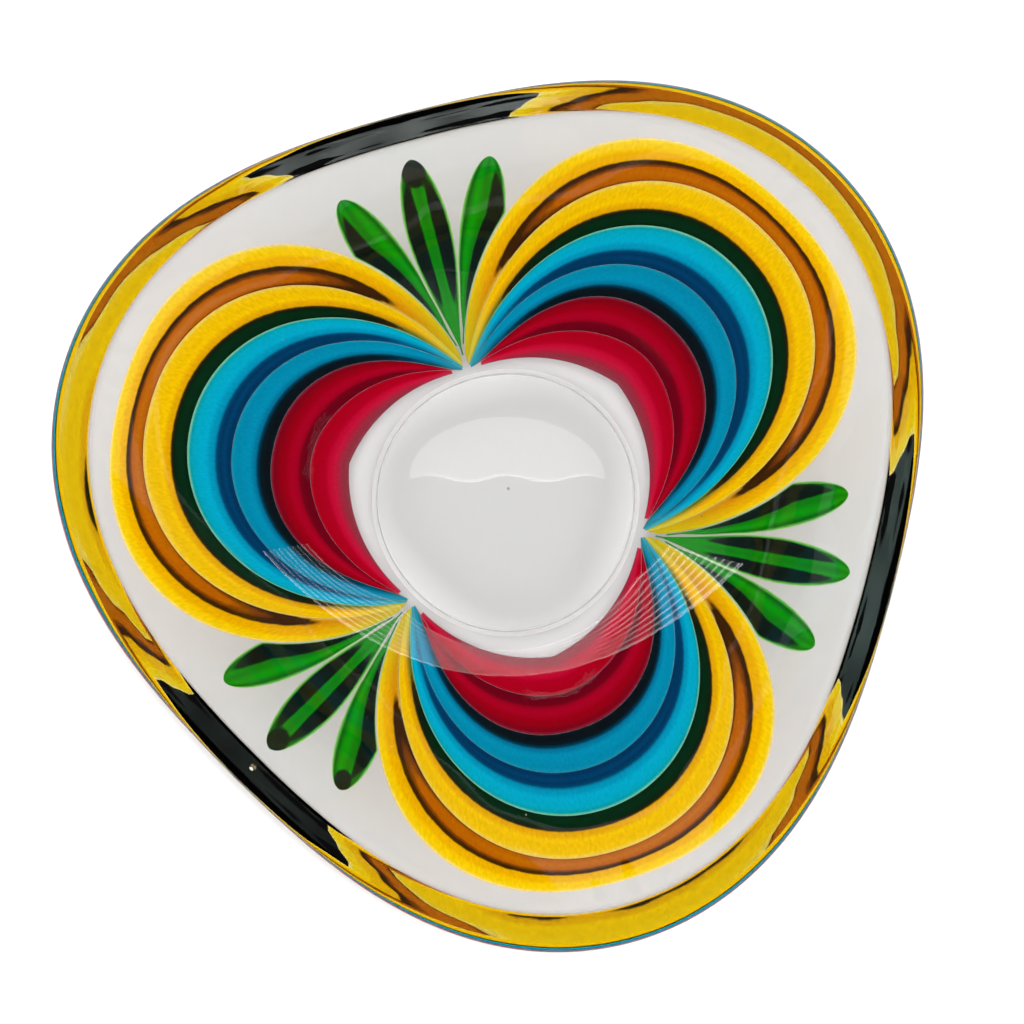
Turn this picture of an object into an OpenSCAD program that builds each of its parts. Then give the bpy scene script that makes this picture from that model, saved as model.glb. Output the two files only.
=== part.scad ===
// Trefoil art glass bowl: one thick clear casting with transparent enamel fused to its outside.
// The outside is pressed with three fans of arched ribs, and each rib is filled with one enamel field.
// Between the fans, three sprays of enamel leaves grow from the points where the ribs meet.
// +Z is up, the origin is the centre of the foot, and the rear lobe of the rim points along +Y.

/* [Bowl] */
// Mean radius of the rim, halfway between a lobe and a flat
mean_r = 125; // [110:1:140]
// How far each of the three lobes stands out from the mean radius, and each flat stands in
lobe_rise = 10; // [4:0.5:14]
// Height of the rim above the table
bowl_h = 70; // [60:1:80]
// Thickness of the floor
floor_t = 10; // [7:0.5:13]
// Radius of the flat inside floor
floor_r = 28; // [20:1:34]

/* [Foot] */
// Radius of the foot
foot_r = 42; // [38:0.5:43]
// Height of the foot below the wall
foot_h = 2.6; // [1.5:0.1:4]
// Chamfer ground on the foot
foot_chamfer = 0.3; // [0.2:0.1:1]

/* [Rim] */
// Width of the rim's top at a lobe
rim_w_lobe = 10.7; // [9:0.1:13]
// Width of the rim's top at a flat
rim_w_flat = 8.4; // [7.5:0.1:9]
// Radius of the rim's outer edge
edge_r = 3; // [2:0.1:3.5]
// Radius of the soft shoulder from the rim's top to the inside wall
lip_r = 2.5; // [1.5:0.5:5]
// Slope of the outside wall where it meets the rim, in degrees
outer_slope = 54; // [50:1:57]
// Slope of the inside wall where it meets the lip, in degrees
inner_slope = 52; // [48:1:55]

/* [Enamel] */
// How far the pressed ribs and the leaves are turned from the rim's lobes, in degrees
fan_turn = 1.7; // [0:0.1:3]
// Depth of a rib's hollow, as a share of the rib's width
hollow = 0.09; // [0.04:0.01:0.14]
// Thickness of the enamel
enamel_t = 0.4; // [0.3:0.05:0.8]

/* [Leaves] */
// Radius at the tip of the middle leaf of a spray, in a bowl of the usual mean radius
middle_tip_r = 106.5; // [96:0.5:107]
// Radius at the tip of the side leaves, in a bowl of the usual mean radius
side_tip_r = 104.5; // [94:0.5:105]
// Angle between the middle leaf and a side leaf, in degrees
leaf_fan = 23.5; // [23.5:0.5:26]
// Widest half-width of a leaf
leaf_half_w = 7; // [5:0.1:7]

/* [Hidden] */
LOBE_NAMES = ["rear", "left", "right"];
LOBE_ANGLES = [90, 210, 330];
SPRAY_NAMES = ["rear_left", "front", "rear_right"];
SPRAY_ANGLES = [150, 270, 30];
RIB_NAMES = ["yellow_outer", "yellow_inner", "blue_outer", "blue_inner", "red_outer", "red_inner"];
RIB_COLOURS = ["gold", "gold", "deepskyblue", "deepskyblue", "crimson", "crimson"];
LEAF_NAMES = ["left", "middle", "right"];

// The bowl's plan repeats every third of a turn
third = 120;
// Where the wall starts, just outside the foot
wall_r = foot_r + 1.6;
// How far the foot's disc reaches up inside the wall
foot_bite = 1;
// Ridges between the ribs, from the outermost arch to the innermost, in a bowl of the usual mean radius:
// [radius on the fan's axis, radius where the ribs meet, squareness of the shoulder, taper to the end]
ridges = [
    [123.1, 45.9, 1.34, 0.81],
    [115.1, 45.8, 1.14, 1.02],
    [103.2, 45.7, 1.04, 1.14],
    [90.1, 45.6, 1.03, 1.24],
    [77.6, 45.5, 1.16, 1.65],
    [65.1, 45.4, 0.87, 1.26],
    [52.4, 45.1, 0.50, 0.99]
];
usual_mean_r = 125;
plan_scale = mean_r / usual_mean_r;
last_ridge = len(ridges) - 1;
// Angle from the fan's axis at which each rib ends, from the outermost rib to the innermost
rib_ends = [58.2, 58.2, 58.2, 58.2, 57, 54];
// Angles from a fan's axis at which a rib that ends at the given angle is sampled
function fan_angles(end) = concat([-end], [for (a = [-57:3:57]) if (abs(a) < end) a], [end]);
plan_angles = [for (lobe = LOBE_ANGLES) for (a = concat([-third / 2], fan_angles(rib_ends[0]))) lobe + fan_turn + a];
// Rounded edges, in degrees from straight out: the wall runs into the first, the rim's top is at 90
edge_turns = [outer_slope - 90, 0, 30, 60, 90];
lip_turns = [90, 105, 120];
outer_bands = 5;
inner_bands = 9;
floor_rings = [1, 0.5];
leaf_steps = 12;
// The leaf's inside face stays this far outside the wall's facets
leaf_clear = 0.05;
// A side leaf stops this far from the middle leaf and from the outermost arch
leaf_gap = 0.3;
// Radius at which the middle leaf starts, and at which the side leaves start
middle_root_r = 50.5;
side_root_r = 54;
leaf_root_half_w = 0.25;
// The leaves' own axes meet at this radius
spray_r = 48;

// ---- plan ----
function lobe_wave(a) = cos(3 * (a - LOBE_ANGLES[0]));
function rim_r(a) = mean_r + lobe_rise * lobe_wave(a);
function rim_w(a) = (rim_w_lobe + rim_w_flat) / 2 + (rim_w_lobe - rim_w_flat) / 2 * lobe_wave(a);
// Angle from the nearest fan's axis, from -60 to 60
function off_fan(a) = (a - fan_turn - LOBE_ANGLES[0] + 3.5 * third) % third - third / 2;

// Radius of ridge i in direction a
function ridge_r(i, a) =
    let (
        line = ridges[i],
        u = min(1, abs(off_fan(a)) / (third / 2)),
        rise = pow(max(0, cos(90 * pow(u, line[2]))), line[3])
    )
    line[1] + (line[0] * plan_scale - line[1]) * rise;

// Angle from a spray's axis to the outermost arch at radius r
function arch_off(r) =
    let (
        line = ridges[0],
        rise = max(0, min(1, (r - line[1]) / (line[0] * plan_scale - line[1])))
    )
    third / 2 * (1 - pow(acos(pow(rise, 1 / line[3])) / 90, 1 / line[2]));

// ---- profile ----
// A wall that leaves [r0, z0] level and reaches [r1, z1] at the given slope
function rise_power(r0, z0, r1, z1, slope) = tan(slope) * (r1 - r0) / (z1 - z0);
function rise_z(r, r0, z0, r1, z1, slope) =
    z0 + (z1 - z0) * pow(max(0, (r - r0) / (r1 - r0)), rise_power(r0, z0, r1, z1, slope));

function edge_point(a, turn) = [
    rim_r(a) - edge_r + edge_r * cos(turn),
    bowl_h - edge_r + edge_r * sin(turn)
];
function lip_point(a, turn) = [
    rim_r(a) - rim_w(a) + lip_r * cos(turn),
    bowl_h - lip_r + lip_r * sin(turn)
];
function outer_top(a) = edge_point(a, edge_turns[0]);
function inner_top(a) = lip_point(a, 90 + inner_slope);
function outer_z(r, a) = rise_z(r, wall_r, foot_h, outer_top(a)[0], outer_top(a)[1], outer_slope);
function inner_z(r, a) = rise_z(r, floor_r, floor_t, inner_top(a)[0], inner_top(a)[1], inner_slope);

// Steepness of the outside wall, and its outward direction as [r, z]
function outer_tilt(r, a) = atan((outer_z(r + 0.05, a) - outer_z(r - 0.05, a)) / 0.1);
function outward(r, a) = [sin(outer_tilt(r, a)), -cos(outer_tilt(r, a))];
// A point on the outside wall, moved outwards by lift
function wall_point(r, a, lift) = [r, outer_z(r, a)] + lift * outward(r, a);

// Depth of the hollow in rib i, which narrows where the rib runs inwards
function rib_depth(i, a) =
    let (
        step = 1,
        width = ridge_r(i, a) - ridge_r(i + 1, a),
        run = (ridge_r(i, a + step) - ridge_r(i, a - step)) / (2 * step * PI / 180),
        lean = abs(off_fan(a)) > third / 2 - 2 * step ? 3 : run / ridge_r(i, a)
    )
    hollow * width / sqrt(1 + lean * lean);
function rib_middle(i, a, lift) =
    wall_point((ridge_r(i, a) + ridge_r(i + 1, a)) / 2, a, lift - rib_depth(i, a));

function place(rz, a) = [rz[0] * cos(a), rz[0] * sin(a), rz[1]];

// ---- closed solids from rings of points ----
// Quads between ring j and ring j + 1, each ring with n points
function ring_faces(j, n) = [for (k = [0:n - 1]) [
    j * n + k, (j + 1) * n + k, (j + 1) * n + (k + 1) % n, j * n + (k + 1) % n
]];

// A solid swept through sections, each an equal closed list of points
module sweep(sections) {
    n = len(sections[0]);
    last = len(sections) - 1;
    points = [for (s = sections) each s];
    faces = concat(
        [[for (k = [0:n - 1]) k]],
        [for (j = [0:last - 1]) each ring_faces(j, n)],
        [[for (k = [n - 1:-1:0]) last * n + k]]
    );
    polyhedron(points = points, faces = faces, convexity = 8);
}

// ---- the glass ----
// The profile in direction a, from the start of the wall round the rim to the middle of the floor
function body_profile(a) = concat(
    [[wall_r, foot_h]],
    [for (i = [last_ridge:-1:1]) each [wall_point(ridge_r(i, a), a, 0), rib_middle(i - 1, a, 0)]],
    [wall_point(ridge_r(0, a), a, 0)],
    [for (k = [1:outer_bands - 1])
        let (r = ridge_r(0, a) + (outer_top(a)[0] - ridge_r(0, a)) * k / outer_bands)
        wall_point(r, a, 0)],
    [for (turn = edge_turns) edge_point(a, turn)],
    [for (turn = lip_turns) lip_point(a, turn)],
    [for (k = [inner_bands:-1:1])
        let (r = floor_r + (inner_top(a)[0] - floor_r) * k / inner_bands)
        [r, inner_z(r, a)]],
    [for (share = floor_rings) [floor_r * share, floor_t]]
);

// The foot is truly round, and its disc reaches a little way up inside the wall
module foot() {
    rotate_extrude($fn = 96)
        polygon([
            [0, 0],
            [foot_r - foot_chamfer, 0],
            [foot_r, foot_chamfer],
            [foot_r, foot_h + foot_bite],
            [0, foot_h + foot_bite]
        ]);
}

module glass_body() {
    profiles = [for (a = plan_angles) [for (rz = body_profile(a)) place(rz, a)]];
    rings = len(profiles[0]);
    color("gainsboro", 0.5)
        union() {
            sweep([for (j = [0:rings - 1]) [for (column = profiles) column[j]]]);
            foot();
        }
}

// ---- the enamel ----
function rib_section(i, a) = [
    for (rz = [
        wall_point(ridge_r(i, a), a, 0),
        rib_middle(i, a, 0),
        wall_point(ridge_r(i + 1, a), a, 0),
        wall_point(ridge_r(i + 1, a), a, enamel_t),
        rib_middle(i, a, enamel_t),
        wall_point(ridge_r(i, a), a, enamel_t)
    ]) place(rz, a)
];

module rib(lobe, i) {
    color(RIB_COLOURS[i])
        sweep([for (a = fan_angles(rib_ends[i])) rib_section(i, LOBE_ANGLES[lobe] + fan_turn + a)]);
}

// Half-width of a leaf that reaches tip_r, at radius r. Its root is full at a taper of 0.5, and slender at 1.
function leaf_half(r, tip_r, taper) =
    let (t = max(0, min(1, (r - middle_root_r) / (tip_r - middle_root_r))))
    max(leaf_root_half_w, leaf_half_w * pow(max(0, sin(180 * pow(t, 1.8))), taper + (0.47 - taper) * t));
function middle_half(r) = leaf_half(r, middle_tip_r * plan_scale, 0.72);
function side_half(r) = leaf_half(r, side_tip_r * plan_scale, 0.5);
// An arc's angle at radius r
function arc(length, r) = length / r * 180 / PI;
// Angle from the spray's axis to a side leaf's own straight axis, at radius r
function leaf_lean(r) = leaf_fan - asin(spray_r * sin(leaf_fan) / r);

// Angles of a leaf's two edges from the spray's axis. A side leaf is cut short beside the middle leaf
// and beside the outermost arch.
function leaf_edges(side, r) =
    let (
        middle = arc(middle_half(r), r),
        half = arc(side_half(r), r),
        gap = arc(leaf_gap, r),
        thin = arc(2 * leaf_root_half_w, r),
        outer = min(leaf_lean(r) + half, arch_off(r) - gap),
        inner = max(min(leaf_lean(r) - half, outer - thin), middle + gap)
    )
    side == 0 ? [-middle, middle] : side > 0 ? [inner, outer] : [-outer, -inner];

function leaf_section(spray_a, side, t) =
    let (
        tip_r = (side == 0 ? middle_tip_r : side_tip_r) * plan_scale,
        root_r = side == 0 ? middle_root_r : side_root_r,
        r = root_r + (tip_r - root_r) * t,
        edges = leaf_edges(side, r),
        from = spray_a + edges[0],
        to = spray_a + edges[1],
        middle = (from + to) / 2
    )
    [
        place(wall_point(r, from, leaf_clear), from),
        place(wall_point(r, middle, leaf_clear), middle),
        place(wall_point(r, to, leaf_clear), to),
        place(wall_point(r, to, enamel_t), to),
        place(wall_point(r, middle, enamel_t * 1.4), middle),
        place(wall_point(r, from, enamel_t), from)
    ];

// side is 1 for the leaf on the left seen from the middle of the bowl, -1 for the one on the right.
// The sections lie closer together towards the tip.
module leaf(spray, side) {
    spray_a = SPRAY_ANGLES[spray] + fan_turn;
    color("forestgreen")
        sweep([for (k = [0:leaf_steps]) leaf_section(spray_a, side, sin(90 * k / leaf_steps))]);
}

// ---- the bowl ----
glass_body();
for (lobe = [0:2])
    for (i = [0:len(RIB_NAMES) - 1])
        rib(lobe, i);
for (spray = [0:2])
    for (k = [0:2])
        leaf(spray, 1 - k);
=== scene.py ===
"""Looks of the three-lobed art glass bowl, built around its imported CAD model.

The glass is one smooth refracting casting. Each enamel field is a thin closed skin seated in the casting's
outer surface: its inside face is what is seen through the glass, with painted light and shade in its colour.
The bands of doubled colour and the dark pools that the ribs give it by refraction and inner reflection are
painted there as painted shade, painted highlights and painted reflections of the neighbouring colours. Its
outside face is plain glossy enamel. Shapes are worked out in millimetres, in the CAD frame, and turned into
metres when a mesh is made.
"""

import math

import bpy
from mathutils import Matrix, Vector, noise


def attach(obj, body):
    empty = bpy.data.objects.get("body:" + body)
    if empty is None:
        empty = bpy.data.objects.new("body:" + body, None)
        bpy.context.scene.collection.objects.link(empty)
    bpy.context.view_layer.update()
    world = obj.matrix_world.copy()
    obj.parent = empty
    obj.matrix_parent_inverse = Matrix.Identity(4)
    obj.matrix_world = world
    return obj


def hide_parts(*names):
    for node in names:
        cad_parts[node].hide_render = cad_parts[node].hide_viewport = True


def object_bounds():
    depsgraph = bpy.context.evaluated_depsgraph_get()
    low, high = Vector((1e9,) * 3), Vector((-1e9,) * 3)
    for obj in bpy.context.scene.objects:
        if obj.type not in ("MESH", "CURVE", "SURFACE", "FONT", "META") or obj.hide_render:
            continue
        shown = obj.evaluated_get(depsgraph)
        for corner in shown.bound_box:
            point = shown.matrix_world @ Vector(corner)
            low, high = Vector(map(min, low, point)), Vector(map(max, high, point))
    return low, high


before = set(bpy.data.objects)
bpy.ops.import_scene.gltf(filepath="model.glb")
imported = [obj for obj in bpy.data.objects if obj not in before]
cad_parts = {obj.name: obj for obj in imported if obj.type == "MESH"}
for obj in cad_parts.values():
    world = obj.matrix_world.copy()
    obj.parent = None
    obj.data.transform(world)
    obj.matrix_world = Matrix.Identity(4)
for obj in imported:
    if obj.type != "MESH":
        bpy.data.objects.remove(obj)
CAD_LOW, CAD_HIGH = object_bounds()

MM = 0.001
THIRD = 120
LOBES = {"rear": 90, "left": 210, "right": 330}
SPRAYS = {"rear_left": 150, "front": 270, "rear_right": 30}
LEAVES = {"left": 1, "middle": 0, "right": -1}

# ---- driving sizes, in millimetres, as in the CAD design ----
BOWL_H = CAD_HIGH.z / MM
MEAN_R = (CAD_HIGH.y - CAD_LOW.y) / 2 / MM
LOBE_RISE = (CAD_HIGH.y + CAD_LOW.y) / 2 / MM
FLOOR_T, FLOOR_R = 10, 28
FOOT_R, FOOT_H, FOOT_CHAMFER = 42, 2.6, 0.3
WALL_R = FOOT_R + 1.6
RIM_W_LOBE, RIM_W_FLAT = 10.7, 8.4
EDGE_R, LIP_R = 3, 2.5
OUTER_SLOPE, INNER_SLOPE = 54, 52
FAN_TURN = 1.7       # how far the pressed ribs and the leaves are turned from the rim's lobes
HOLLOW = 0.09
# Ridges between the ribs, from the outermost arch to the innermost:
# radius on the fan's axis, radius where the ribs meet, squareness of the shoulder, taper to the end
RIDGES = (
    (123.1, 45.9, 1.34, 0.81),
    (115.1, 45.8, 1.14, 1.02),
    (103.2, 45.7, 1.04, 1.14),
    (90.1, 45.6, 1.03, 1.24),
    (77.6, 45.5, 1.16, 1.65),
    (65.1, 45.4, 0.87, 1.26),
    (52.4, 45.1, 0.50, 0.99),
)
MIDDLE_TIP_R, SIDE_TIP_R = 106.5, 104.5
MIDDLE_ROOT_R, SIDE_ROOT_R = 50.5, 54
SPRAY_R, LEAF_FAN, LEAF_HALF_W, LEAF_GAP = 48, 23.5, 7.0, 0.3

# ---- the hand-made surface ----
SKIN = 0.1           # everything stays this far inside the CAD outline
RIPPLE = 0.10        # height of the casting's slow ripples
RIPPLE_LENGTH = 13
RIPPLE_START = 20    # the ripples grow to their full height over this distance from the foot
WAVE = 0.12          # height of the shorter waves on the rim's top
WAVE_LENGTH = 5
# Which slice of the noise each surface takes
OUTSIDE_LAYER, CROWN_LAYER, INSIDE_LAYER, WAVE_LAYER = 3.7, 9.1, 21.3, 5.5
SEAT = 0.08          # how far an enamel field is let into the glass
ENAMEL_T = 0.32      # how far it stands out of the glass
ENAMEL_EDGE_T = 0.08  # and how far at its edges
ENAMEL_GAP = 0.04    # half the gap between two fields
LEAF_CLEAR = 0.05    # the leaves lie on the glass, this far off it
LEAF_EDGE_T = 0.04   # thickness of a leaf's edges


def sind(degrees):
    return math.sin(math.radians(degrees))


def cosd(degrees):
    return math.cos(math.radians(degrees))


def mix(a, b, share):
    return a + (b - a) * share


# ---- plan and profile ----
def lobe_wave(a):
    return cosd(3 * (a - LOBES["rear"]))


def rim_r(a):
    return MEAN_R + LOBE_RISE * lobe_wave(a) - SKIN


def rim_w(a):
    return (RIM_W_LOBE + RIM_W_FLAT) / 2 + (RIM_W_LOBE - RIM_W_FLAT) / 2 * lobe_wave(a)


def off_fan(a):
    """Angle from the nearest fan's axis, from -60 to 60."""
    return (a - FAN_TURN - LOBES["rear"] + 3.5 * THIRD) % THIRD - THIRD / 2


def ridge_r(i, a):
    on_axis, at_end, shoulder, taper = RIDGES[i]
    u = min(1, abs(off_fan(a)) / (THIRD / 2))
    return at_end + (on_axis - at_end) * max(0, cosd(90 * u ** shoulder)) ** taper


def arch_off(r):
    """Angle from a spray's axis to the outermost arch at radius r."""
    on_axis, at_end, shoulder, taper = RIDGES[0]
    rise = max(0, min(1, (r - at_end) / (on_axis - at_end)))
    return THIRD / 2 * (1 - (math.degrees(math.acos(rise ** (1 / taper))) / 90) ** (1 / shoulder))


def rise_z(r, start, end, slope):
    """Height at radius r of a wall that leaves start level and reaches end at the given slope."""
    (r0, z0), (r1, z1) = start, end
    power = math.tan(math.radians(slope)) * (r1 - r0) / (z1 - z0)
    return z0 + (z1 - z0) * max(0, (r - r0) / (r1 - r0)) ** power


def edge_point(a, turn):
    return rim_r(a) - EDGE_R + EDGE_R * cosd(turn), BOWL_H - SKIN - EDGE_R + EDGE_R * sind(turn)


def lip_point(a, turn):
    return rim_r(a) - rim_w(a) + LIP_R * cosd(turn), BOWL_H - SKIN - LIP_R + LIP_R * sind(turn)


def ripple(r, a, layer):
    """Slow unevenness of the cast glass, which fades out where the wall meets the foot."""
    x, y = r * cosd(a) / RIPPLE_LENGTH, r * sind(a) / RIPPLE_LENGTH
    return RIPPLE * noise.noise(Vector((x, y, layer))) * min(1, max(0, (r - WALL_R) / RIPPLE_START))


def outer_z(r, a):
    return rise_z(r, (WALL_R, FOOT_H), edge_point(a, OUTER_SLOPE - 90), OUTER_SLOPE)


def inner_z(r, a):
    return rise_z(r, (FLOOR_R, FLOOR_T), lip_point(a, 90 + INNER_SLOPE), INNER_SLOPE)


def wall_point(r, a, lift):
    """A point on the outside wall, moved outwards by lift, as (r, z)."""
    step = 0.05
    tilt = math.atan2(outer_z(r + step, a) - outer_z(r - step, a), 2 * step)
    lift += ripple(r, a, OUTSIDE_LAYER)
    return r + lift * math.sin(tilt), outer_z(r, a) - lift * math.cos(tilt)


def crown_point(r, a):
    """A point on the rim's top, as (r, z). It is wavier between the lobes and the flats."""
    x, y = r * cosd(a) / WAVE_LENGTH, r * sind(a) / WAVE_LENGTH
    wave = WAVE * (1 - lobe_wave(a) ** 2) * (noise.noise(Vector((x, y, WAVE_LAYER))) - 1)
    return r, BOWL_H - SKIN - 0.6 * RIPPLE - 0.6 * ripple(r, a, CROWN_LAYER) + wave


def inside_point(r, a):
    """A point on the inside wall, as (r, z)."""
    top = lip_point(a, 90 + INNER_SLOPE)[0]
    return r, inner_z(r, a) + min(1, 4 * (top - r) / (top - FLOOR_R)) * ripple(r, a, INSIDE_LAYER)


def rib_depth(i, a):
    """Depth of the hollow in rib i, which narrows where the rib runs inwards."""
    step = 1
    width = ridge_r(i, a) - ridge_r(i + 1, a)
    run = (ridge_r(i, a + step) - ridge_r(i, a - step)) / math.radians(2 * step)
    near_end = abs(off_fan(a)) > THIRD / 2 - 2 * step
    lean = 3 if near_end else run / ridge_r(i, a)
    return HOLLOW * width / math.sqrt(1 + lean * lean)


def rib_point(i, across, a, lift):
    """A point of rib i: across is 0 on its outer ridge and 1 on its inner ridge."""
    r = mix(ridge_r(i, a), ridge_r(i + 1, a), across)
    hollow = rib_depth(i, a) * 4 * across * (1 - across)
    return wall_point(r, a, lift - hollow)


def place(rz, a):
    return Vector((rz[0] * cosd(a), rz[0] * sind(a), rz[1])) * MM


# ---- meshes ----
def new_object(name, points, faces, values=None):
    """A smooth-shaded mesh object. values gives named numbers, one for each point."""
    mesh = bpy.data.meshes.new(name)
    mesh.from_pydata(points, [], faces)
    mesh.shade_smooth()
    for label, numbers in (values or {}).items():
        mesh.attributes.new(label, "FLOAT", "POINT").data.foreach_set("value", numbers)
    mesh.update()
    piece = bpy.data.objects.new(name, mesh)
    bpy.context.scene.collection.objects.link(piece)
    return piece


def add_ball(points, faces, centre, radius):
    """A small round hollow: its faces look inwards, because it is a bubble in the glass."""
    rings, sides = 6, 12
    first = len(points)
    for j in range(1, rings):
        for k in range(sides):
            tilt, turn = 180 * j / rings, 360 * k / sides
            outwards = Vector((sind(tilt) * cosd(turn), sind(tilt) * sind(turn), cosd(tilt)))
            points.append(centre + radius * outwards)
    top = len(points)
    points += [centre + Vector((0, 0, radius)), centre - Vector((0, 0, radius))]
    for k in range(sides):
        after = (k + 1) % sides
        faces.append((top, first + after, first + k))
        last = first + (rings - 2) * sides
        faces.append((top + 1, last + k, last + after))
        for j in range(rings - 2):
            here, below = first + j * sides, first + (j + 1) * sides
            faces.append((here + k, here + after, below + after, below + k))


def glass_profile(a):
    """The casting's section in direction a, from the foot's flat to the middle of the floor."""
    foot_inner = FOOT_R - FOOT_CHAMFER
    rows = [(foot_inner * share, 0) for share in (0.3, 0.6, 0.85, 0.96, 1)]
    rows += [(mix(foot_inner, FOOT_R, share), FOOT_CHAMFER * share ** 1.5) for share in (0.35, 0.7, 1)]
    rows += [(FOOT_R, 1.8), (FOOT_R + 0.06, 2.3), (FOOT_R + 0.3, 2.56)]
    last = len(RIDGES) - 1
    innermost = ridge_r(last, a)
    rows += [wall_point(WALL_R, a, 0)]
    rows += [wall_point(mix(WALL_R, innermost, k / 4), a, 0) for k in range(1, 4)]
    steps = 8
    for i in range(last - 1, -1, -1):
        rows += [rib_point(i, 1 - k / steps, a, 0) for k in range(steps)]
    arch, top = ridge_r(0, a), edge_point(a, OUTER_SLOPE - 90)
    steps = 24
    rows += [wall_point(mix(arch, top[0], k / steps), a, 0) for k in range(steps)]
    steps = 14
    rows += [edge_point(a, mix(OUTER_SLOPE - 90, 90, k / steps)) for k in range(steps + 1)]
    steps = 5
    rim_inner = lip_point(a, 90)
    crown = edge_point(a, 90)
    for k in range(1, steps):
        rows.append(crown_point(mix(crown[0], rim_inner[0], k / steps), a))
    steps = 10
    rows += [lip_point(a, mix(90, 90 + INNER_SLOPE, k / steps)) for k in range(steps + 1)]
    steps = 44
    top = lip_point(a, 90 + INNER_SLOPE)
    rows += [inside_point(mix(top[0], FLOOR_R, k / steps), a) for k in range(1, steps + 1)]
    rows += [(FLOOR_R * share, FLOOR_T) for share in (0.8, 0.6, 0.4, 0.2)]
    return rows


BUBBLES = (
    # direction, radius from the axis, height, size
    (272.0, 109.0, 66.0, 1.0),
    (128.0, 4.0, 6.5, 0.45),
    (40.0, 61.0, 22.0, 0.35),
    (190.0, 84.0, 33.0, 0.3),
    (318.0, 96.0, 42.0, 0.35),
)
# Rows of the glass profile between which the foot is ground: its chamfer, its low side and the step above
GROUND_ROWS = (4, 11)
# Rows between which the rim's flat top lies
CROWN_ROWS = (101, 106)


def make_glass():
    columns = 360
    sections = [[place(rz, a) for rz in glass_profile(a)] for a in range(columns)]
    rings = len(sections[0])
    points = [sections[k][j] for j in range(rings) for k in range(columns)]
    faces = []
    for j in range(rings - 1):
        here, above = j * columns, (j + 1) * columns
        for k in range(columns):
            after = (k + 1) % columns
            faces.append((here + k, here + after, above + after, above + k))
    points += [Vector((0, 0, 0)), Vector((0, 0, FLOOR_T * MM))]
    under, middle = len(points) - 2, len(points) - 1
    last = (rings - 1) * columns
    for k in range(columns):
        after = (k + 1) % columns
        faces.append((under, after, k))
        faces.append((middle, last + k, last + after))
    for a, r, z, size in BUBBLES:
        add_ball(points, faces, place((r, z), a), size * MM)
    glass = new_object("glass_body_casting", points, faces)
    for slot, (first, end) in enumerate((GROUND_ROWS, CROWN_ROWS), 1):
        for number in range(first * columns, end * columns):
            glass.data.polygons[number].material_index = slot
    return glass


def make_skin(name, sections, values):
    """A closed skin. Each section has one row of points on the glass side and one outside, in that order."""
    count = len(sections[0][0])
    points, faces = [], []
    for inside, outside in sections:
        points += inside + outside
    ring = 2 * count
    for j in range(len(sections) - 1):
        here, nxt = j * ring, (j + 1) * ring
        for k in range(count - 1):
            faces.append((here + k, here + k + 1, nxt + k + 1, nxt + k))
            faces.append((here + count + k, nxt + count + k, nxt + count + k + 1, here + count + k + 1))
        faces.append((here, nxt, nxt + count, here + count))
        faces.append((here + count - 1, here + ring - 1, nxt + ring - 1, nxt + count - 1))
    end = (len(sections) - 1) * ring
    for k in range(count - 1):
        faces.append((k, count + k, count + k + 1, k + 1))
        faces.append((end + k, end + k + 1, end + count + k + 1, end + count + k))
    piece = new_object(name, points, faces, values)
    # Between two sections come the wide faces, inside and outside in turn, and then the two narrow sides
    wide = 2 * (count - 1)
    per_step = wide + 2
    all_steps = (len(sections) - 1) * per_step
    for number, face in enumerate(piece.data.polygons):
        step_face = number % per_step
        on_inside = number < all_steps and step_face < wide and step_face % 2 == 0
        face.material_index = 0 if on_inside else 1
    return piece


# ---- painted shade and painted reflection in the enamel: pools of doubled colour ----
# For each rib: middle and half-width of the pool across the rib, and the angle at which it ends
SHADE_POOLS = {
    "yellow_outer": (0.80, 0.34, 47),
    "yellow_inner": (0.86, 0.27, 46),
    "blue_outer": (0.82, 0.23, 45),
    "blue_inner": (0.85, 0.26, 47),
    "red_outer": (0.88, 0.20, 44),
    "red_inner": (1.00, 0.32, 46),
}
RIB_KINDS = tuple(SHADE_POOLS)
# Angle from the fan's axis at which each field ends
RIB_END = {"yellow_outer": 59.0, "yellow_inner": 58.8, "blue_outer": 58.6, "blue_inner": 58.2,
           "red_outer": 57.0, "red_inner": 54.0}


def pool_depth(kind, across, psi):
    """0 in the middle of the pool, 1 on its outline and more outside."""
    middle, half, end = SHADE_POOLS[kind]
    return math.sqrt(((across - middle) / half) ** 2 + abs(psi / end) ** 5)


def make_rib(lobe, kind):
    i = RIB_KINDS.index(kind)
    end = RIB_END[kind]
    steps, count = 168, 17
    crowding = 0.98      # how closely the sections crowd towards the ends
    sections, across_all, along_all, pool_all = [], [], [], []
    for j in range(steps + 1):
        psi = end * math.sin(math.radians(mix(-90, 90, j / steps)) * crowding) / sind(90 * crowding)
        a = LOBES[lobe] + FAN_TURN + psi
        width = ridge_r(i, a) - ridge_r(i + 1, a)
        gap = min(0.2, ENAMEL_GAP / width)
        acrosses = [mix(gap, 1 - gap, k / (count - 1)) for k in range(count)]
        inside = [place(rib_point(i, t, a, -SEAT), a) for t in acrosses]
        outside = []
        for t in acrosses:
            crown = (1 - abs(2 * t - 1) ** 6) ** 0.5
            outside.append(place(rib_point(i, t, a, mix(ENAMEL_EDGE_T, ENAMEL_T, crown)), a))
        sections.append((inside, outside))
        across_all += acrosses * 2
        along_all += [psi / (THIRD / 2)] * (2 * count)
        pool_all += [pool_depth(kind, t, psi) for t in acrosses] * 2
    values = {"across": across_all, "along": along_all, "shade_pool": pool_all}
    return make_skin(f"{lobe}_fan_{kind}_enamel", sections, values)


def leaf_half(r, tip_r, taper):
    """Half-width of a leaf at radius r, in degrees. Its root is full at a taper of 0.5, and slender at 1."""
    t = max(0, min(1, (r - MIDDLE_ROOT_R) / (tip_r - MIDDLE_ROOT_R)))
    return math.degrees(max(0.25, LEAF_HALF_W * max(0, sind(180 * t ** 1.8)) ** mix(taper, 0.47, t)) / r)


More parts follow.
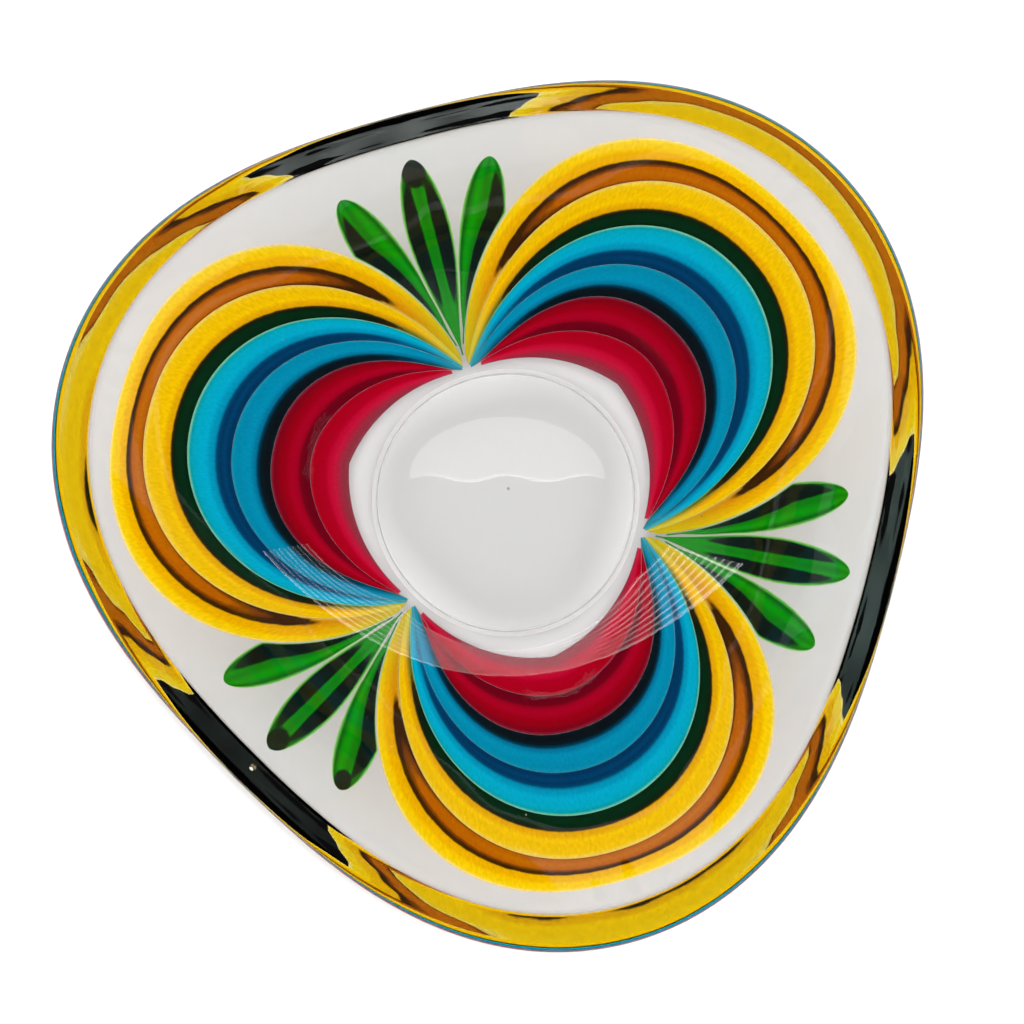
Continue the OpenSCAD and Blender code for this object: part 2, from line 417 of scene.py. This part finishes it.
def leaf_edges(side, r):
    """Angles of a leaf's two edges from the spray's axis. A side leaf is cut short beside the middle leaf
    and beside the outermost arch."""
    middle = leaf_half(r, MIDDLE_TIP_R, 0.72)
    if side == 0:
        return -middle, middle
    half = leaf_half(r, SIDE_TIP_R, 0.5)
    gap, thin = math.degrees(LEAF_GAP / r), math.degrees(0.5 / r)
    lean = LEAF_FAN - math.degrees(math.asin(SPRAY_R * sind(LEAF_FAN) / r))
    outer = min(lean + half, arch_off(r) - gap)
    inner = max(min(lean - half, outer - thin), middle + gap)
    return (inner, outer) if side > 0 else (-outer, -inner)


# Leaves with a painted dark cap of shade at the tip, and its radius
SHADE_CAPPED = {("rear_left", "middle"): 3.7, ("front", "middle"): 3.4, ("front", "left"): 2.8}


def leaf_pool(side, cap, across, t, half, to_tip):
    """As pool_depth: dark pools of painted shade on both sides of a middle leaf, or on the outer side of a
    side leaf, and a painted dark cap of shade at the tip of a capped leaf."""
    centres, width, middle, reach = (-0.57, 0.57), 0.33, 0.61, 0.32
    if side:
        centres, width, middle, reach = (0.52 * side,), 0.42, 0.56, 0.37
    depth = min(
        math.sqrt(((across - c) / width) ** 2 + abs((t - middle) / reach) ** 3)
        for c in centres
    )
    if cap:
        depth = min(depth, math.hypot(across * half, to_tip - 0.9 * cap) / cap)
    return depth


def make_leaf(spray, leaf):
    side = LEAVES[leaf]
    tip_r, root_r = (MIDDLE_TIP_R, MIDDLE_ROOT_R) if side == 0 else (SIDE_TIP_R, SIDE_ROOT_R)
    cap = SHADE_CAPPED.get((spray, leaf), 0)
    steps, count = 72, 17
    sections, across_all, along_all, pool_all = [], [], [], []
    for j in range(steps + 1):
        t = sind(90 * j / steps)
        r = mix(root_r, tip_r, t)
        edges = leaf_edges(side, r)
        acrosses = [mix(-1, 1, k / (count - 1)) for k in range(count)]
        inside, outside = [], []
        for u in acrosses:
            a = SPRAYS[spray] + FAN_TURN + mix(*edges, (u + 1) / 2)
            crown = (1 - u ** 6) ** 0.5
            inside.append(place(wall_point(r, a, LEAF_CLEAR), a))
            lift = mix(LEAF_CLEAR + LEAF_EDGE_T, ENAMEL_T, crown)
            outside.append(place(wall_point(r, a, lift), a))
        sections.append((inside, outside))
        across_all += acrosses * 2
        along_all += [t] * (2 * count)
        half = math.radians(edges[1] - edges[0]) * r / 2
        pool_all += [leaf_pool(side, cap, u, t, half, tip_r - r) for u in acrosses] * 2
    values = {"across": across_all, "along": along_all, "shade_pool": pool_all}
    return make_skin(f"{spray}_spray_{leaf}_leaf_enamel", sections, values)


# ---- colours and materials ----
def linear(colour):
    """A colour given as on a screen, from 0 to 255, as linear light."""
    return [(c / 255 / 12.92) if c <= 10 else ((c / 255 + 0.055) / 1.055) ** 2.4 for c in colour]


# Share of its own brightness that enamel of each colour keeps when it is seen through the glass
SEEN = {"yellow": 1.0, "blue": 0.85, "red": 0.85, "leaf": 0.8}


def under_glass(colour, hue):
    """The enamel's own colour, for the colour that it has when it is seen through the glass."""
    return [min(0.97, c / SEEN[hue]) for c in linear(colour)]


class Shader:
    """One node material: add() makes a node and sets or links its inputs by name."""

    def __init__(self, name):
        self.material = bpy.data.materials.new(name)
        self.material.use_nodes = True
        self.tree = self.material.node_tree
        self.surface = self.tree.nodes["Principled BSDF"]

    def add(self, kind, inputs=None, **settings):
        node = self.tree.nodes.new(kind)
        for key, value in settings.items():
            setattr(node, key, value)
        for key, value in (inputs or {}).items():
            self.set(node, key, value)
        return node

    def set(self, node, key, value):
        if isinstance(value, bpy.types.NodeSocket):
            self.tree.links.new(value, node.inputs[key])
        else:
            node.inputs[key].default_value = value

    def maths(self, operation, first, second=0.0, third=0.0):
        node = self.add("ShaderNodeMath", {0: first, 1: second, 2: third}, operation=operation)
        return node.outputs[0]

    def value(self, label):
        return self.add("ShaderNodeAttribute", attribute_name=label).outputs["Fac"]

    def ramp(self, factor, stops, easing="EASE"):
        node = self.add("ShaderNodeValToRGB", {"Fac": factor})
        band = node.color_ramp
        band.interpolation = easing
        while len(band.elements) < len(stops):
            band.elements.new(1)
        for element, (position, colour) in zip(band.elements, stops):
            element.position = position
            element.color = (*colour, 1)
        return node.outputs["Color"]

    def blend(self, factor, first, second):
        node = self.add("ShaderNodeMix", data_type="RGBA")
        self.set(node, 0, factor)
        self.set(node, 6, first)
        self.set(node, 7, second)
        return node.outputs[2]

    def texture(self, vector, scale, detail=2.0):
        return self.add("ShaderNodeTexNoise", {"Vector": vector, "Scale": scale, "Detail": detail}).outputs[0]


# How much longer brush marks are along a field than across it
RIB_BRUSH, LEAF_BRUSH = 14.0, 5.0


def enamel_coordinates(shader, along_stretch):
    """Coordinates that run across and along a field, so brush marks follow it."""
    across, along = shader.value("across"), shader.value("along")
    stretched = shader.maths("MULTIPLY", along, along_stretch)
    node = shader.add("ShaderNodeCombineXYZ", {"X": across, "Y": stretched})
    return across, along, node.outputs[0]


# A colour ramp ends at 1, and a pool's colours go on past its outline, so both are scaled by this
POOL_SCALE = 0.8


def painted(shader, hue, across, brush, bands, shade_pool, edge, wander):
    """Colour of the inside of a field: bands across it with painted highlights and painted shade, and the
    dark pool of painted shade and painted reflection, with its outline.
    """
    plain = shader.ramp(across, [(p, under_glass(c, hue)) for p, c in bands])
    drift = shader.texture(brush, 3.2, 3.0)
    depth = shader.maths("MULTIPLY_ADD", drift, wander, shader.value("shade_pool"))
    depth = shader.maths("SUBTRACT", depth, wander / 2)
    scaled = shader.maths("MULTIPLY", depth, POOL_SCALE)
    inside = shader.ramp(scaled, [(p * POOL_SCALE, under_glass(c, hue)) for p, c in shade_pool])
    outside = shader.add("ShaderNodeMapRange", {"Value": depth, "From Min": 1 - edge,
                                                "From Max": 1 + edge})
    outside.interpolation_type = "SMOOTHSTEP"
    colour = shader.blend(outside.outputs[0], inside, plain)
    streaks = shader.texture(brush, 9.0, 4.0)
    shade = shader.add("ShaderNodeMapRange", {"Value": streaks, "From Min": 0.3, "From Max": 0.7,
                                              "To Min": 0.86, "To Max": 1.06})
    tint = shader.add("ShaderNodeVectorMath", {0: colour}, operation="SCALE")
    shader.set(tint, "Scale", shade.outputs[0])
    return tint.outputs[0]


# Bands of colour across each rib, from its outer ridge to its inner ridge, as they look through the glass:
# the enamel's colour with painted light and shade, pale painted highlights on the ridges and painted shade
# darkening towards the inner ridge
SHADED_BANDS = {
    "yellow_outer": ((0.0, (236, 214, 130)), (0.07, (244, 206, 20)), (0.2, (248, 202, 4)),
                     (0.32, (242, 180, 2)), (0.9, (225, 150, 12)), (1.0, (228, 196, 84))),
    "yellow_inner": ((0.0, (236, 206, 90)), (0.1, (243, 197, 12)), (0.25, (245, 194, 1)),
                     (0.38, (250, 202, 1)), (0.5, (240, 176, 4)), (0.93, (90, 110, 40)),
                     (1.0, (150, 190, 110))),
    "blue_outer": ((0.0, (120, 196, 150)), (0.06, (6, 150, 165)), (0.16, (1, 160, 190)),
                   (0.36, (1, 164, 199)), (0.5, (1, 146, 184)), (0.93, (2, 90, 125)),
                   (1.0, (40, 140, 170))),
    "blue_inner": ((0.0, (20, 140, 172)), (0.1, (1, 132, 168)), (0.42, (1, 138, 176)), (0.55, (2, 118, 155)),
                   (0.93, (14, 40, 56)), (1.0, (90, 120, 140))),
    "red_outer": ((0.0, (130, 40, 60)), (0.08, (122, 3, 22)), (0.3, (146, 0, 19)), (0.52, (164, 1, 33)),
                  (0.92, (112, 3, 26)), (1.0, (184, 20, 52))),
    "red_inner": ((0.0, (184, 20, 52)), (0.08, (164, 1, 26)), (0.35, (170, 0, 32)), (0.52, (188, 10, 50)),
                  (0.66, (186, 24, 56)), (1.0, (150, 44, 66))),
}
# Painted shade and painted reflections of the neighbouring ribs' colours in each pool, from its middle to
# past its outline
SHADE_POOL_COLOURS = {
    "yellow_outer": ((0.0, (200, 112, 4)), (0.45, (192, 100, 5)), (0.6, (130, 66, 10)), (0.76, (64, 34, 8)),
                     (0.95, (58, 34, 8)), (1.1, (90, 60, 8))),
    "yellow_inner": ((0.0, (6, 46, 24)), (0.45, (4, 44, 20)), (0.72, (14, 34, 16)), (0.92, (52, 36, 10)),
                     (1.1, (120, 76, 8))),
    "blue_outer": ((0.0, (1, 62, 108)), (0.45, (1, 54, 93)), (0.8, (1, 64, 104)), (1.1, (2, 100, 145))),
    "blue_inner": ((0.0, (14, 17, 22)), (0.5, (5, 24, 32)), (0.8, (2, 54, 76)), (1.1, (2, 100, 140))),
    "red_outer": ((0.0, (100, 2, 22)), (0.6, (108, 2, 22)), (1.1, (142, 2, 28))),
    "red_inner": ((0.0, (140, 60, 72)), (0.45, (142, 46, 62)), (1.1, (172, 24, 54))),
}
POOL_EDGE = {"yellow_outer": 0.06, "yellow_inner": 0.08, "blue_outer": 0.25,
             "blue_inner": 0.2, "red_outer": 0.22, "red_inner": 0.3}
# The fields' ends are paler, because they are thin there
END_COLOURS = {
    "yellow_outer": (192, 186, 28), "yellow_inner": (194, 200, 80), "blue_outer": (66, 156, 166),
    "blue_inner": (44, 140, 156), "red_outer": (160, 40, 62), "red_inner": (178, 60, 82),
}
OUTSIDE = {"yellow": (242, 176, 8), "blue": (6, 128, 170), "red": (176, 4, 30), "green": (6, 112, 22)}


def inside_of_rib(kind):
    shader = Shader(f"{kind}_enamel_with_painted_shade")
    across, along, brush = enamel_coordinates(shader, RIB_BRUSH)
    hue = kind.split("_")[0]
    colour = painted(shader, hue, across, brush, SHADED_BANDS[kind], SHADE_POOL_COLOURS[kind], POOL_EDGE[kind], 0.14)
    reach = shader.maths("ABSOLUTE", along)
    ends = shader.add("ShaderNodeMapRange", {"Value": reach, "From Min": 0.78, "From Max": 0.98,
                                             "To Max": 0.75})
    ends.interpolation_type = "SMOOTHSTEP"
    colour = shader.blend(ends.outputs[0], colour, (*under_glass(END_COLOURS[kind], hue), 1))
    shader.set(shader.surface, "Base Color", colour)
    shader.set(shader.surface, "Roughness", 0.6)
    shader.set(shader.surface, "Specular IOR Level", 0.0)
    return shader.material


# Bands across a leaf, edge to edge, with painted light and shade over its green: pale painted highlights at
# the edges, painted shade beside them and down the middle
LEAF_SHADED_BANDS = ((0.0, (150, 190, 110)), (0.04, (70, 150, 60)), (0.09, (2, 84, 8)), (0.28, (1, 132, 3)),
              (0.5, (4, 104, 6)), (0.72, (1, 132, 3)), (0.91, (2, 84, 8)), (0.96, (70, 150, 60)),
              (1.0, (150, 190, 110)))
# Colour in a leaf's pools: painted shade
LEAF_SHADE_POOL = ((0.0, (2, 16, 14)), (0.75, (2, 18, 14)), (0.95, (2, 36, 12)), (1.1, (3, 70, 10)))


def inside_of_leaf():
    shader = Shader("leaf_enamel_with_painted_shade")
    across, _, brush = enamel_coordinates(shader, LEAF_BRUSH)
    share = shader.maths("MULTIPLY_ADD", across, 0.5, 0.5)
    colour = painted(shader, "leaf", share, brush, LEAF_SHADED_BANDS, LEAF_SHADE_POOL, 0.1, 0.2)
    shader.set(shader.surface, "Base Color", colour)
    shader.set(shader.surface, "Roughness", 0.6)
    shader.set(shader.surface, "Specular IOR Level", 0.0)
    return shader.material


def outside_of(hue):
    """Fired enamel in air: glossy, with faint brush marks."""
    shader = Shader(f"{hue}_enamel_outside")
    brush = enamel_coordinates(shader, RIB_BRUSH)[2]
    base = linear(OUTSIDE[hue])
    streaks = shader.texture(brush, 8.0, 4.0)
    deep = [c * 0.72 for c in base]
    colour = shader.ramp(streaks, [(0.3, deep), (0.62, base)], "LINEAR")
    shader.set(shader.surface, "Base Color", colour)
    rough = shader.add("ShaderNodeMapRange", {"Value": streaks, "To Min": 0.12, "To Max": 0.3})
    shader.set(shader.surface, "Roughness", rough.outputs[0])
    shader.surface.inputs["Coat Weight"].default_value = 0.6
    shader.surface.inputs["Coat Roughness"].default_value = 0.05
    bump = shader.add("ShaderNodeBump", {"Height": streaks, "Strength": 0.15, "Distance": 0.0002})
    shader.set(shader.surface, "Normal", bump.outputs[0])
    return shader.material


def clear_glass(name, colour, roughness, clearness, mirroring):
    """Clear glass. Its mirroring is 1 for real glass, and less dims what it mirrors at a steep angle."""
    shader = Shader(name)
    surface = shader.surface
    surface.inputs["Base Color"].default_value = (*colour, 1)
    surface.inputs["Transmission Weight"].default_value = clearness
    surface.inputs["IOR"].default_value = 1.5
    surface.inputs["Roughness"].default_value = roughness
    surface.inputs["Specular Tint"].default_value = (mirroring, mirroring, mirroring, 1)
    return shader.material


# ---- the bowl ----
def dress(piece, node, materials):
    for material in materials:
        piece.data.materials.append(material)
    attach(piece, "root")
    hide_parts(node)


def build_bowl():
    glass = make_glass()
    clear = clear_glass("clear_crystal", (1, 1, 1), 0, 1, 0.25)
    ground = clear_glass("ground_foot", (1, 1, 1), 0.5, 0.5, 0.25)
    crown = clear_glass("rim_crystal", (0.78, 0.93, 0.85), 0, 1, 1)
    dress(glass, "glass_body", [clear, ground, crown])
    outsides = {hue: outside_of(hue) for hue in OUTSIDE}
    for kind in RIB_KINDS:
        hue = kind.split("_")[0]
        inside = inside_of_rib(kind)
        for lobe in LOBES:
            dress(make_rib(lobe, kind), f"{lobe}_fan_{kind}", [inside, outsides[hue]])
    inside = inside_of_leaf()
    for spray in SPRAYS:
        for leaf in LEAVES:
            piece = make_leaf(spray, leaf)
            dress(piece, f"{spray}_spray_{leaf}_leaf", [inside, outsides["green"]])


# ---- the studio ----
# Direction of the picture's top, from the bowl's axis
PICTURE_UP = 135
TABLE_Z = -0.4
# Grey of the table at each distance from the bowl's axis, where the rim has its mean radius: painted shadow
# and painted light under the bowl, darker under the rim and lighter under the foot, then the plain table from
# 138.5 out
TABLE_PAINTED_SHADOW = ((1, 0.56), (34, 0.56), (45, 0.73), (60, 0.62), (90, 0.54), (108, 0.48), (133, 0.42),
               (138.5, 0.76), (8000, 0.76))
# Strength of the room's light, and of what mirrored rays see of it
ROOM_LIGHT, MIRRORED_LIGHT = 2.45, 0.12


def make_table():
    """A wide disc with painted shadow and light under the bowl: its greys follow the rim's plan, show through
    the clear glass, and seen from low down look like a shadow with a sharp edge.
    """
    columns = 120
    points, faces = [Vector((0, 0, TABLE_Z)) * MM], []
    shadow_greys = [TABLE_PAINTED_SHADOW[0][1]]
    for mean, grey in TABLE_PAINTED_SHADOW:
        for k in range(columns):
            a = 360 * k / columns
            r = mean + LOBE_RISE * lobe_wave(a) * min(1, mean / MEAN_R)
            points.append(Vector((r * cosd(a), r * sind(a), TABLE_Z)) * MM)
            shadow_greys.append(grey)
    for k in range(columns):
        faces.append((0, 1 + k, 1 + (k + 1) % columns))
    for j in range(len(TABLE_PAINTED_SHADOW) - 1):
        here, nxt = 1 + j * columns, 1 + (j + 1) * columns
        for k in range(columns):
            after = (k + 1) % columns
            faces.append((here + k, nxt + k, nxt + after, here + after))
    table = new_object("table_top", points, faces, {"shadow_grey": shadow_greys})
    shader = Shader("pale_table")
    shader.set(shader.surface, "Base Color", shader.value("shadow_grey"))
    shader.surface.inputs["Roughness"].default_value = 0.6
    shader.surface.inputs["Specular IOR Level"].default_value = 0.1
    table.data.materials.append(shader.material)


# ---- window light that the glass mirrors ----
def mirrored(rz_at, r, a, reach):
    """The point that the camera sees mirrored by a glass surface, at the given distance from the surface."""
    step = 0.2
    here = place(rz_at(r, a), a)
    outwards = place(rz_at(r + step, a), a) - place(rz_at(r - step, a), a)
    sideways = place(rz_at(r, a + step), a + step) - place(rz_at(r, a - step), a - step)
    normal = outwards.cross(sideways).normalized()
    ray = (here - EYE).normalized()
    return here + reach * MM * (ray - 2 * ray.dot(normal) * normal)


def make_window_light(name, rz_at, area_at, glow_at, reach, steps, colour):
    """A sheet that shines down on the glass, and is seen only as a mirror image in it. The main camera
    sees that image over area_at's patch."""
    along, across = steps
    points, faces, glow = [], [], []
    for j in range(along + 1):
        for k in range(across + 1):
            r, a = area_at(j / along, k / across)
            points.append(mirrored(rz_at, r, a, reach))
            glow.append(glow_at(j / along, k / across))
    for j in range(along):
        for k in range(across):
            here, nxt = j * (across + 1) + k, (j + 1) * (across + 1) + k
            faces.append((here, here + 1, nxt + 1, nxt))
    sheet = new_object(name, points, faces, {"glow": glow})
    shader = Shader(name + "_light")
    light = shader.add("ShaderNodeEmission", {"Color": (*colour, 1), "Strength": shader.value("glow")})
    clear = shader.add("ShaderNodeBsdfTransparent")
    side = shader.add("ShaderNodeNewGeometry").outputs["Backfacing"]
    one_sided = shader.add("ShaderNodeMixShader", {0: side, 1: clear.outputs[0], 2: light.outputs[0]})
    output = shader.tree.nodes["Material Output"]
    shader.tree.links.new(one_sided.outputs[0], output.inputs["Surface"])
    shader.material.cycles.emission_sampling = "NONE"
    sheet.data.materials.append(shader.material)
    sheet.visible_camera = False
    sheet.visible_diffuse = False
    sheet.visible_transmission = False
    sheet.visible_volume_scatter = False
    sheet.visible_shadow = False


def soft_end(share, width):
    """0 at both ends of a sheet, 1 away from them."""
    return min(1, share / width) * min(1, (1 - share) / width)


# How far each kind of sheet is from the glass that mirrors it
SKY_REACH, INSIDE_REACH = 150, 4
# The blind's mirror image: directions of its ends and its middle, radius and bend of its outer edge,
# and radius of its inner edge
BLIND_FROM, BLIND_TO, BLIND_AXIS = 237.5, 389, 315
BLIND_OUTER_R, BLIND_BEND = 55.3, 0.57
BLIND_INNER_R = 47
# Directions past which the inner edge runs outwards, and by how much for each degree
BLIND_START, START_RUN = 267, 0.56
BLIND_FINISH, FINISH_RUN = 374, 0.33
BLIND_SLATS = 10


def blind_area(along, across):
    """The blind's mirror image low on the inside wall: a long band that bends round the floor."""
    a = mix(BLIND_FROM, BLIND_TO, along)
    outer = BLIND_OUTER_R / cosd(BLIND_BEND * (a - BLIND_AXIS))
    inner = BLIND_INNER_R + START_RUN * max(0, BLIND_START - a) + FINISH_RUN * max(0, a - BLIND_FINISH)
    return mix(inner, outer, across), a


def blind_glow(along, across):
    """Brightness of the blind: bright slats, a bright outer edge, and dimmer towards its first end."""
    slat = (across * BLIND_SLATS) % 1 - 0.5
    edge = math.exp(-((across - 0.985) / 0.014) ** 2)
    rise = min(1, along / 0.35)
    return mix(0.6, 1.6, rise) + mix(8, 20, rise) * math.exp(-(slat / 0.16) ** 2) + 16 * edge


# The window's arched top: where its image starts and ends up the picture, its half width, the height
# of its ellipse, and the height and number of waves along its lower side
DOME_FROM, DOME_TO = 6.8, 26.4
DOME_HALF_W, DOME_RISE = 31, 19.8
DOME_WAVE, DOME_WAVES = 1.1, 2.5


def dome_area(along, across):
    """The window's arched top, on the floor: a half ellipse, wavy along its lower side."""
    lower = DOME_FROM + DOME_WAVE * sind(360 * DOME_WAVES * across) * (1 - along)
    up = mix(lower, DOME_TO, along)
    half = DOME_HALF_W * math.sqrt(max(0, 1 - ((up - DOME_FROM) / DOME_RISE) ** 2))
    side = half * (2 * across - 1)
    return math.hypot(up, side), PICTURE_UP - math.degrees(math.atan2(side, up))


def dome_glow(along, across):
    """Brightness of the window's top: even, with a bright line along its lower side."""
    return 7.5 + 14 * math.exp(-(along / 0.045) ** 2) * soft_end(across, 0.1)


# Brightness and colour of the sky that each flat of the rim mirrors
SKIES = {"rear_left": (2.3, (0.9, 1, 0.98)), "front": (0.4, (0.8, 1, 0.9)),
         "rear_right": (1.3, (0.72, 1, 0.92))}
SKY_SPAN = 54
SKY_INNER, SKY_OUTER = 13, 1     # how far inside the rim's outline each card's image starts and ends


def sky_area(spray, along, across):
    """The rim's top beside one spray."""
    a = SPRAYS[spray] - SKY_SPAN / 2 + SKY_SPAN * along
    return rim_r(a) - mix(SKY_INNER, SKY_OUTER, across), a


def sky_glow(along, across, sky):
    """Brightness of a sky card: it fades at its ends, and has soft clouds."""
    cloud = noise.noise(Vector((9 * along, 1.5 * across, sky)))
    return sky * soft_end(along, 0.12) * (1 + 0.7 * cloud)


def make_window_lights():
    white = (1, 1, 1)
    for spray, (sky, colour) in SKIES.items():
        make_window_light(
            f"{spray}_sky_card", crown_point,
            lambda along, across: sky_area(spray, along, across),
            lambda along, across: sky_glow(along, across, sky),
            SKY_REACH, (48, 6), colour)
    make_window_light("blind_card", inside_point, blind_area, blind_glow, INSIDE_REACH, (120, 100), white)
    make_window_light("window_card", inside_point, dome_area, dome_glow, INSIDE_REACH, (48, 48), white)


def make_world():
    """A bright overcast room: white overhead and darker towards the horizon. It is plain white to the
    camera, and dim to mirrored rays."""
    world = bpy.data.worlds.new("studio")
    bpy.context.scene.world = world
    world.use_nodes = True
    nodes, links = world.node_tree.nodes, world.node_tree.links
    seen = nodes["Background"]
    seen.inputs["Color"].default_value = (1, 1, 1, 1)
    where = nodes.new("ShaderNodeTexCoord")
    split = nodes.new("ShaderNodeSeparateXYZ")
    links.new(where.outputs["Generated"], split.inputs[0])
    height = nodes.new("ShaderNodeValToRGB")
    links.new(split.outputs["Z"], height.inputs["Fac"])
    band = height.color_ramp
    stops = ((0.0, 0.10), (0.16, 0.12), (0.36, 0.85), (0.55, 1.0))
    while len(band.elements) < len(stops):
        band.elements.new(1)
    for element, (position, grey) in zip(band.elements, stops):
        element.position = position
        element.color = (grey, grey, grey, 1)
    light = nodes.new("ShaderNodeBackground")
    links.new(height.outputs["Color"], light.inputs["Color"])
    light.inputs["Strength"].default_value = ROOM_LIGHT
    dim = nodes.new("ShaderNodeBackground")
    dim.inputs["Strength"].default_value = MIRRORED_LIGHT
    path = nodes.new("ShaderNodeLightPath")
    reflected = nodes.new("ShaderNodeMixShader")
    only_glossy = nodes.new("ShaderNodeMath")
    only_glossy.operation = "GREATER_THAN"
    links.new(path.outputs["Is Glossy Ray"], only_glossy.inputs[0])
    links.new(path.outputs["Is Transmission Ray"], only_glossy.inputs[1])
    links.new(only_glossy.outputs[0], reflected.inputs[0])
    links.new(light.outputs[0], reflected.inputs[1])
    links.new(dim.outputs[0], reflected.inputs[2])
    choose = nodes.new("ShaderNodeMixShader")
    links.new(path.outputs["Is Camera Ray"], choose.inputs[0])
    links.new(reflected.outputs[0], choose.inputs[1])
    links.new(seen.outputs[0], choose.inputs[2])
    links.new(choose.outputs[0], nodes["World Output"].inputs["Surface"])


def make_camera():
    """Looks almost straight down. The picture's top lies between the rear and left lobes."""
    lean = 2.8               # degrees from straight above
    lean_towards = 288       # direction in which the camera stands off the axis
    above_rim = 627 * MM
    lens_mm = 76.3
    up = Vector((cosd(PICTURE_UP), sind(PICTURE_UP), 0))
    right = Vector((cosd(PICTURE_UP - 90), sind(PICTURE_UP - 90), 0))
    aim = Vector((0, 0, BOWL_H * MM)) - up * 6.2 * MM + right * 0.25 * MM
    aside = Vector((cosd(lean_towards), sind(lean_towards), 0))
    back = Vector((0, 0, 1)) * cosd(lean) + aside * sind(lean)
    data = bpy.data.cameras.new("camera")
    data.lens, data.sensor_width = lens_mm, 36
    data.clip_start, data.clip_end = 0.02, 50
    camera = bpy.data.objects.new("camera", data)
    camera.location = aim + back * above_rim
    z_axis = back.normalized()
    x_axis = up.cross(z_axis).normalized()
    y_axis = z_axis.cross(x_axis)
    camera.rotation_mode = "QUATERNION"
    camera.rotation_quaternion = Matrix((x_axis, y_axis, z_axis)).transposed().to_quaternion()
    bpy.context.scene.collection.objects.link(camera)
    bpy.context.scene.camera = camera
    return camera.location.copy()


EYE = make_camera()
build_bowl()
make_table()
make_window_lights()
make_world()
bpy.context.scene.view_settings.view_transform = "Standard"
# Mirrored light is followed for a few reflections only
bpy.context.scene.cycles.glossy_bounces = 3
